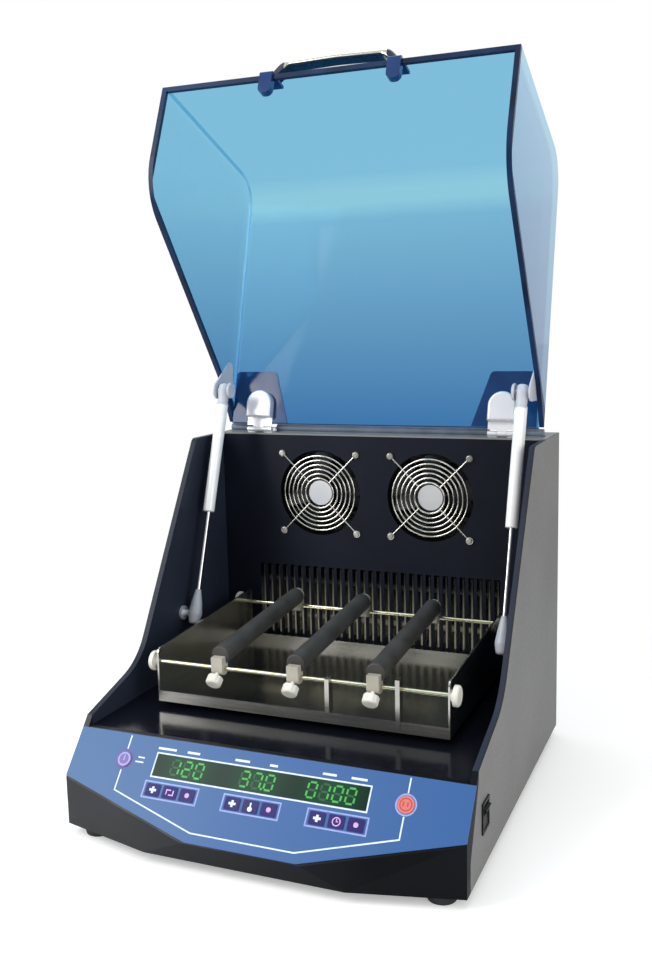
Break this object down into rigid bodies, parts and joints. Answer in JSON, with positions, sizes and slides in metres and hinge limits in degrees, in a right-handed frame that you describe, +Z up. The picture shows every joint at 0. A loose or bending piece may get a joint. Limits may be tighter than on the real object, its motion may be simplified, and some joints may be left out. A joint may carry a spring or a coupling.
{
  "type": "incubated benchtop shaker",
  "caption": "Benchtop incubator shaker with a tinted hinged hood on struts, an orbiting tray with clamping bars, twin fans and a sloping control panel.",
  "frame": {"origin": "on the bench, under the middle of the machine", "axes": "+Z up, -Y towards the user at the control panel, +X to the user's right"},
  "size_m": [0.4547, 0.5067, 0.8537],
  "materials": {
    "dark_zinc": "satin dark grey",
    "foot_rubber": "matt",
    "grey_texture_paint": "fine orange-peel texture",
    "chamber_black": "smooth black, low sheen",
    "deck_gloss_black": "gloss black",
    "shell_black": "satin black",
    "blue_overlay": "printed blue overlay",
    "green_display": "dark green window",
    "purple_keys": "membrane keys",
    "circuit_board": "matt",
    "zinc_steel": "plated",
    "motor_steel": "machined",
    "cast_aluminium": "cast",
    "belt_rubber": "matt",
    "fan_black": "matt",
    "chrome_wire": "bright",
    "screw_steel": "plated",
    "bright_steel": "bright",
    "socket_black": "satin",
    "blue_tint": "clear light-blue acrylic",
    "gusset_black": "satin",
    "chrome_bar": "bright",
    "navy_clip": "satin",
    "white_tube": "gloss white",
    "stainless": "polished",
    "stainless_rod": "polished",
    "white_knob": "off-white",
    "bar_rubber": "matt sleeve",
    "purple_key": "satin",
    "red_key": "satin"
  },
  "bodies": {
    "chassis": {"base_pan": "dark_zinc", "feet": "foot_rubber", "left_side_panel": "grey_texture_paint", "right_side_panel": "grey_texture_paint", "rear_panel": "grey_texture_paint", "top_cover": "grey_texture_paint", "left_liner": "chamber_black", "right_liner": "chamber_black", "chamber_back": "chamber_black", "deck": "deck_gloss_black", "front_shell": "shell_black", "control_panel": "blue_overlay", "display_window": "green_display", "keypad": "purple_keys", "control_board": "circuit_board", "power_supply": "zinc_steel", "drive_motor": "motor_steel", "bearing_housings": "cast_aluminium", "drive_belt": "belt_rubber", "heater": "zinc_steel", "fan_frames": "fan_black", "fan_guards": "chrome_wire", "screws": "screw_steel", "hinge_lower_leaves": "bright_steel", "strut_wall_studs": "bright_steel", "mains_inlet": "socket_black", "switch_body": "socket_black"},
    "hood": {"hood_shell": "blue_tint", "hood_left_cheek": "blue_tint", "hood_right_cheek": "blue_tint", "hood_gussets": "gusset_black", "hood_handle": "chrome_bar", "handle_clips": "navy_clip", "hinge_upper_leaves": "bright_steel", "hood_stud_plates": "bright_steel"},
    "left_strut_tube": {"strut_tube_left": "white_tube"},
    "right_strut_tube": {"strut_tube_right": "white_tube"},
    "left_strut_rod": {"strut_rod_left": "chrome_bar"},
    "right_strut_rod": {"strut_rod_right": "chrome_bar"},
    "eccentric": {"eccentric_shaft": "motor_steel"},
    "platform": {"tray": "stainless", "tray_rods": "stainless_rod", "rod_knobs": "white_knob", "rod_posts": "stainless", "platform_hub": "cast_aluminium"},
    "left_crank": {"support_crank_left": "motor_steel"},
    "right_crank": {"support_crank_right": "motor_steel"},
    "motor_rotor": {"motor_pulley": "motor_steel"},
    "bar_1": {"cross_bar_1": "bar_rubber"},
    "bar_2": {"cross_bar_2": "bar_rubber"},
    "bar_3": {"cross_bar_3": "bar_rubber"},
    "knob_1": {"clamp_knob_1": "white_knob"},
    "knob_2": {"clamp_knob_2": "white_knob"},
    "knob_3": {"clamp_knob_3": "white_knob"},
    "left_fan": {"fan_rotor_left": "fan_black"},
    "right_fan": {"fan_rotor_right": "fan_black"},
    "switch_rocker": {"rocker": "socket_black"},
    "power_button": {"power_key": "purple_key"},
    "start_button": {"start_stop_key": "red_key"}
  },
  "joints": [
    {"name": "hood_hinge", "type": "hinge", "parent": "chassis", "child": "hood", "pos_m": [0, 0.1646, 0.409], "axis": [1, 0, 0], "range_deg": [0, 113.9]},
    {"name": "left_strut_pivot", "type": "hinge", "parent": "hood", "child": "left_strut_tube", "pos_m": [-0.2, 0.1276, 0.4636], "axis": [1, 0, 0], "range_deg": [-125.61, 0]},
    {"name": "left_strut_slide", "type": "slide", "parent": "left_strut_tube", "child": "left_strut_rod", "axis": [0, 0.3397, 0.9405], "range_m": [0, 0.09949]},
    {"name": "right_strut_pivot", "type": "hinge", "parent": "hood", "child": "right_strut_tube", "pos_m": [0.2, 0.1276, 0.4636], "axis": [1, 0, 0], "range_deg": [-125.61, 0]},
    {"name": "right_strut_slide", "type": "slide", "parent": "right_strut_tube", "child": "right_strut_rod", "axis": [0, 0.3397, 0.9405], "range_m": [0, 0.09949]},
    {"name": "drive_spin", "type": "hinge", "parent": "chassis", "child": "eccentric", "pos_m": [0, 0.0066, 0.06], "axis": [0, 0, 1], "continuous": true},
    {"name": "platform_counter_spin", "type": "hinge", "parent": "eccentric", "child": "platform", "pos_m": [0, 0.0166, 0.11], "axis": [0, 0, 1], "continuous": true},
    {"name": "left_crank_spin", "type": "hinge", "parent": "chassis", "child": "left_crank", "pos_m": [-0.12, 0.0066, 0.08], "axis": [0, 0, 1], "continuous": true},
    {"name": "right_crank_spin", "type": "hinge", "parent": "chassis", "child": "right_crank", "pos_m": [0.12, 0.0066, 0.08], "axis": [0, 0, 1], "continuous": true},
    {"name": "motor_spin", "type": "hinge", "parent": "chassis", "child": "motor_rotor", "pos_m": [0, 0.1126, 0.06], "axis": [0, 0, 1], "continuous": true},
    {"name": "bar_1_slide", "type": "slide", "parent": "platform", "child": "bar_1", "axis": [1, 0, 0], "range_m": [-0.055, 0.03]},
    {"name": "clamp_1_turn", "type": "hinge", "parent": "bar_1", "child": "knob_1", "pos_m": [-0.097, -0.1009, 0.164], "axis": [0, 0.769, 0.6392], "range_deg": [0, 360]},
    {"name": "bar_2_slide", "type": "slide", "parent": "platform", "child": "bar_2", "axis": [1, 0, 0], "range_m": [-0.03, 0.025]},
    {"name": "clamp_2_turn", "type": "hinge", "parent": "bar_2", "child": "knob_2", "pos_m": [-0.003, -0.1009, 0.164], "axis": [0, 0.769, 0.6392], "range_deg": [0, 360]},
    {"name": "bar_3_slide", "type": "slide", "parent": "platform", "child": "bar_3", "axis": [1, 0, 0], "range_m": [-0.035, 0.0135]},
    {"name": "clamp_3_turn", "type": "hinge", "parent": "bar_3", "child": "knob_3", "pos_m": [0.091, -0.1009, 0.164], "axis": [0, 0.769, 0.6392], "range_deg": [0, 360]},
    {"name": "left_fan_spin", "type": "hinge", "parent": "chassis", "child": "left_fan", "pos_m": [-0.0762, 0.1626, 0.326], "axis": [0, -1, 0], "continuous": true},
    {"name": "right_fan_spin", "type": "hinge", "parent": "chassis", "child": "right_fan", "pos_m": [0.0762, 0.1626, 0.326], "axis": [0, -1, 0], "continuous": true},
    {"name": "mains_rocker", "type": "hinge", "parent": "chassis", "child": "switch_rocker", "pos_m": [0.218, -0.1554, 0.066], "axis": [0, 1, 0], "range_deg": [-20, 0]},
    {"name": "power_key_press", "type": "slide", "parent": "chassis", "child": "power_button", "axis": [0, 0.7593, -0.6508], "range_m": [0, 0.001], "stiffness_N_per_m": 800},
    {"name": "start_key_press", "type": "slide", "parent": "chassis", "child": "start_button", "axis": [0, 0.7593, -0.6508], "range_m": [0, 0.001], "stiffness_N_per_m": 800}
  ],
  "couplings": [
    {"joint": "left_strut_pivot", "follows": "hood_hinge", "ratio": -1.1011},
    {"joint": "left_strut_slide", "follows": "hood_hinge", "m_per_rad": 0.049945},
    {"joint": "right_strut_pivot", "follows": "hood_hinge", "ratio": -1.1011},
    {"joint": "right_strut_slide", "follows": "hood_hinge", "m_per_rad": 0.049945},
    {"joint": "platform_counter_spin", "follows": "drive_spin", "ratio": -1},
    {"joint": "left_crank_spin", "follows": "drive_spin", "ratio": 1},
    {"joint": "right_crank_spin", "follows": "drive_spin", "ratio": 1},
    {"joint": "motor_spin", "follows": "drive_spin", "ratio": 2.8571}
  ]
}
